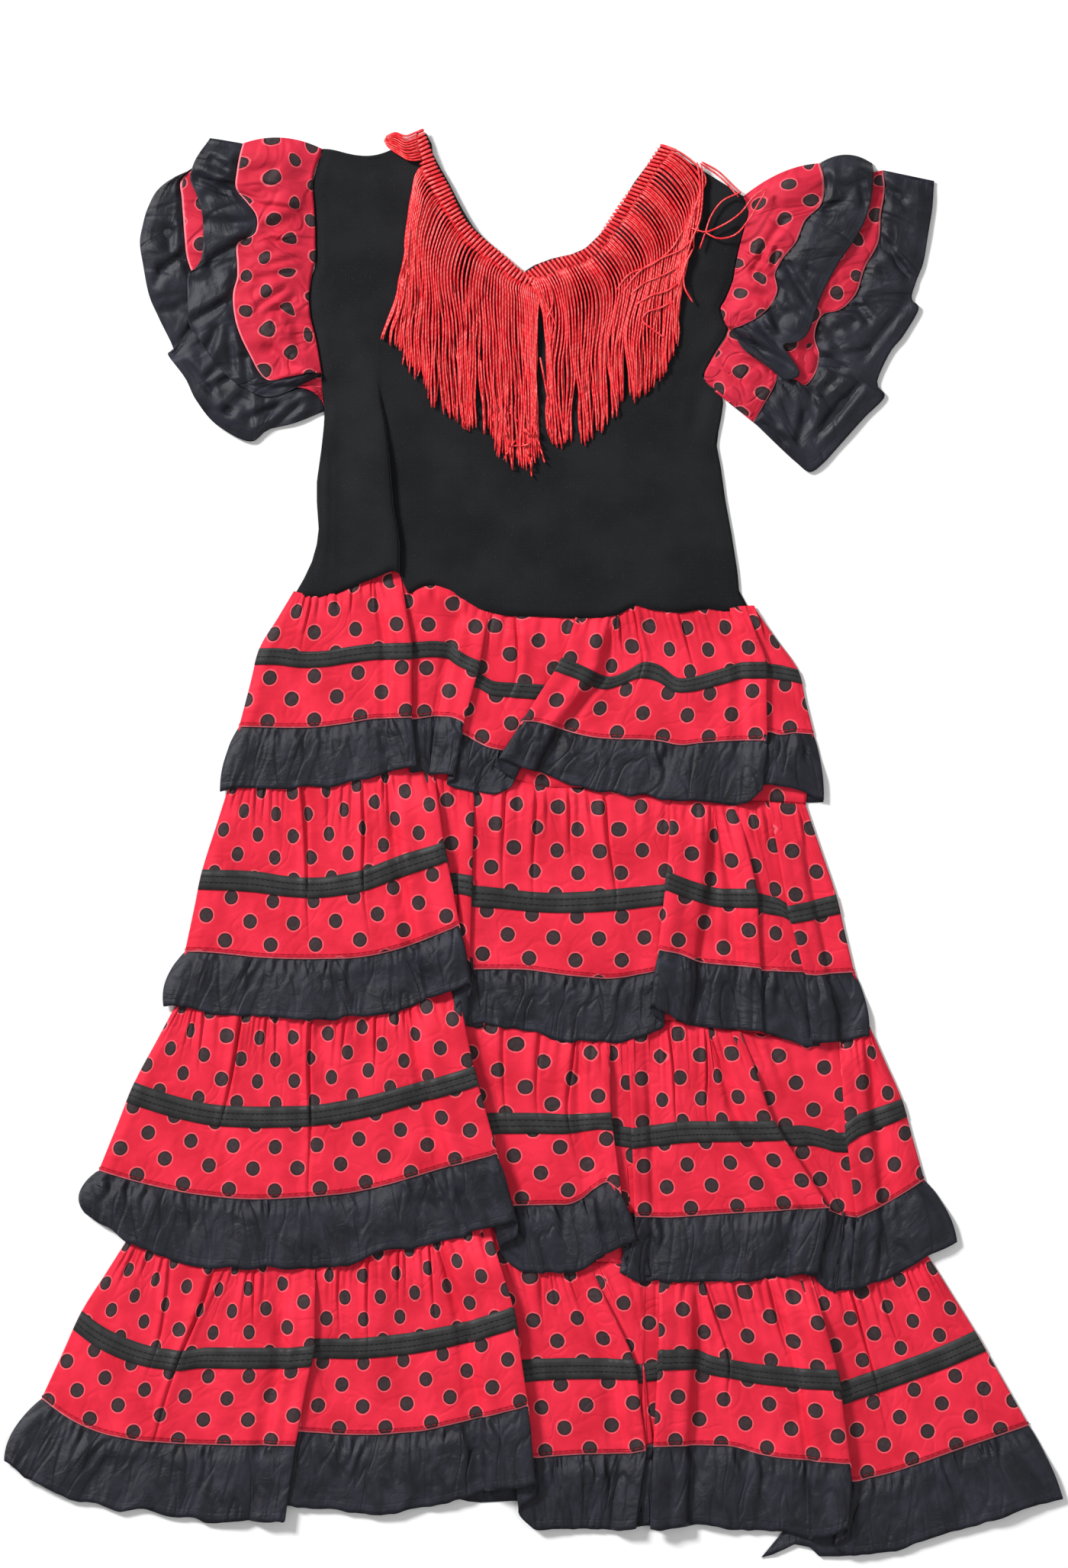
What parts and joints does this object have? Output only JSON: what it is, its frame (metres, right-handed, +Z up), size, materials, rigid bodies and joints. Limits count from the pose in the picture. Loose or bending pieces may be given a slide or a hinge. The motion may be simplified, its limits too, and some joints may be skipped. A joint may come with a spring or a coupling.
{
  "type": "flamenco dress",
  "caption": "Child's flamenco dress laid flat: black bodice with a fringed V neck, flounced short sleeves and a tiered, gathered polka-dot skirt.",
  "frame": {"origin": "on the surface, under the middle of the dress's box", "axes": "+Y points to the neck, +X across to the right as seen from above, +Z up out of the front"},
  "size_m": [0.695, 0.937, 0.0121],
  "materials": {
    "dotted_cloth": "matt woven polyester, red with black dots",
    "black_taffeta": "crisp black taffeta with a soft sheen",
    "black_ribbon": "dark satin ribbon",
    "black_knit": "matt black knit",
    "red_fringe": "shiny red rayon cord"
  },
  "bodies": {
    "root": {"bodice_back": "black_knit", "bodice_front": "black_knit", "fringe": "red_fringe", "fringe_header": "red_fringe", "sleeve_left_lower_flounce_back": "dotted_cloth", "sleeve_left_lower_flounce_front": "dotted_cloth", "sleeve_left_lower_trim_back": "black_taffeta", "sleeve_left_lower_trim_front": "black_taffeta", "sleeve_left_upper_flounce_back": "dotted_cloth", "sleeve_left_upper_flounce_front": "dotted_cloth", "sleeve_left_upper_trim_back": "black_taffeta", "sleeve_left_upper_trim_front": "black_taffeta", "sleeve_right_lower_flounce_back": "dotted_cloth", "sleeve_right_lower_flounce_front": "dotted_cloth", "sleeve_right_lower_trim_back": "black_taffeta", "sleeve_right_lower_trim_front": "black_taffeta", "sleeve_right_upper_flounce_back": "dotted_cloth", "sleeve_right_upper_flounce_front": "dotted_cloth", "sleeve_right_upper_trim_back": "black_taffeta", "sleeve_right_upper_trim_front": "black_taffeta", "tier_1_panel_back": "dotted_cloth", "tier_1_panel_front": "dotted_cloth", "tier_1_ribbon_back": "black_ribbon", "tier_1_ribbon_front": "black_ribbon", "tier_1_ruffle_back": "black_taffeta", "tier_1_ruffle_front": "black_taffeta", "tier_2_panel_back": "dotted_cloth", "tier_2_panel_front": "dotted_cloth", "tier_2_ribbon_back": "black_ribbon", "tier_2_ribbon_front": "black_ribbon", "tier_2_ruffle_back": "black_taffeta", "tier_2_ruffle_front": "black_taffeta", "tier_3_panel_back": "dotted_cloth", "tier_3_panel_front": "dotted_cloth", "tier_3_ribbon_back": "black_ribbon", "tier_3_ribbon_front": "black_ribbon", "tier_3_ruffle_back": "black_taffeta", "tier_3_ruffle_front": "black_taffeta", "tier_4_panel_back": "dotted_cloth", "tier_4_panel_front": "dotted_cloth", "tier_4_ribbon_back": "black_ribbon", "tier_4_ribbon_front": "black_ribbon", "tier_4_ruffle_back": "black_taffeta", "tier_4_ruffle_front": "black_taffeta"}
  },
  "joints": []
}
